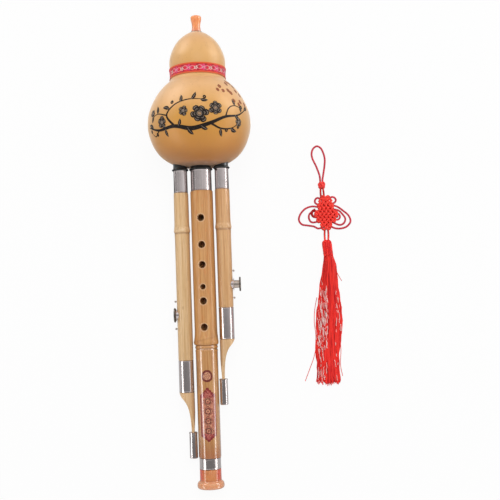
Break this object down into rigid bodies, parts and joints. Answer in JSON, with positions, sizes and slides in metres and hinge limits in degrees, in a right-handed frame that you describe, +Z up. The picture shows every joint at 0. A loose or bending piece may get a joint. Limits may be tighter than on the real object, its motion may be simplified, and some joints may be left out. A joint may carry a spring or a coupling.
{
  "type": "hulusi",
  "caption": "Gourd flute lying flat: gourd wind chest with mouthpiece, bamboo reed pipes in sockets, pull stops on the drones, a bell cap, and a red knot tassel beside it.",
  "frame": {"origin": "centre of the instrument's footprint, on the table it lies on", "axes": "+Y along the instrument towards the mouthpiece, +Z up, finger holes up, +X to the side of the shorter drone pipe"},
  "size_m": [0.1825, 0.419, 0.0918],
  "materials": {
    "gourd": "polished gourd skin, painted",
    "bamboo": "polished bamboo",
    "nickel": "bright nickel",
    "socket": "dark moulded plastic",
    "mouthpiece": "polished, amber orange",
    "bell": "polished, slightly translucent amber",
    "ribbon": "woven floral band",
    "holder": "turned, matt",
    "brass": "brushed",
    "rubber": "matt",
    "cord": "red satin cord and thread"
  },
  "bodies": {
    "gourd": {"gourd": "gourd", "waist_ribbon": "ribbon", "mouthpiece": "mouthpiece"},
    "main_socket": {"main_socket": "socket"},
    "main_pipe": {"main_pipe": "bamboo", "main_top_ferrule": "nickel", "main_foot_ferrule": "nickel", "bell": "bell", "main_reed_holder": "holder", "main_reed": "brass"},
    "left_socket": {"left_socket": "socket"},
    "left_pipe": {"left_pipe": "bamboo", "left_top_ferrule": "nickel", "left_foot_ferrule": "nickel", "left_tail": "bamboo", "left_tail_sleeve": "nickel", "left_stop_plate": "nickel", "left_stop_bush": "nickel", "left_reed_holder": "holder", "left_reed": "brass"},
    "left_stop": {"left_stop_knob": "nickel", "left_stop_tip": "rubber"},
    "right_socket": {"right_socket": "socket"},
    "right_pipe": {"right_pipe": "bamboo", "right_top_ferrule": "nickel", "right_foot_ferrule": "nickel", "right_tail": "bamboo", "right_tail_sleeve": "nickel", "right_stop_plate": "nickel", "right_stop_bush": "nickel", "right_reed_holder": "holder", "right_reed": "brass"},
    "right_stop": {"right_stop_knob": "nickel", "right_stop_tip": "rubber"},
    "tassel": {"hanging_loop": "cord", "neck_strand_left": "cord", "neck_strand_right": "cord", "ear_left": "cord", "ear_right": "cord", "outer_loop_left": "cord", "inner_loop_left": "cord", "outer_loop_right": "cord", "inner_loop_right": "cord", "small_loop_right": "cord", "lower_strand_left": "cord", "lower_strand_right": "cord", "button_knot": "cord", "flat_knot": "cord", "tassel_head": "cord", "tassel_skirt": "cord"}
  },
  "joints": [
    {"name": "main_turn", "type": "hinge", "parent": "gourd", "child": "main_socket", "pos_m": [0, 0.07586, 0.0422], "axis": [0, 0.9942, 0.1078], "continuous": true},
    {"name": "main_pull", "type": "slide", "parent": "main_socket", "child": "main_pipe", "axis": [0, -0.9942, -0.1078], "range_m": [0, 0.06]},
    {"name": "left_turn", "type": "hinge", "parent": "gourd", "child": "left_socket", "pos_m": [-0.0184, 0.07586, 0.0422], "axis": [0, 0.9942, 0.1078], "range_deg": [-90, 90]},
    {"name": "left_pull", "type": "slide", "parent": "left_socket", "child": "left_pipe", "axis": [0, -0.9942, -0.1078], "range_m": [0, 0.018]},
    {"name": "left_stop_pull", "type": "slide", "parent": "left_pipe", "child": "left_stop", "axis": [-1, 0, 0], "range_m": [0, 0.0045]},
    {"name": "right_turn", "type": "hinge", "parent": "gourd", "child": "right_socket", "pos_m": [0.0184, 0.07586, 0.0422], "axis": [0, 0.9942, 0.1078], "range_deg": [-90, 90]},
    {"name": "right_pull", "type": "slide", "parent": "right_socket", "child": "right_pipe", "axis": [0, -0.9942, -0.1078], "range_m": [0, 0.06]},
    {"name": "right_stop_pull", "type": "slide", "parent": "right_pipe", "child": "right_stop", "axis": [1, 0, 0], "range_m": [-0.0045, 0]},
    {"name": "tassel_lift", "type": "slide", "parent": "gourd", "child": "tassel", "axis": [0, 0, 1], "range_m": [0, 0.06]}
  ]
}
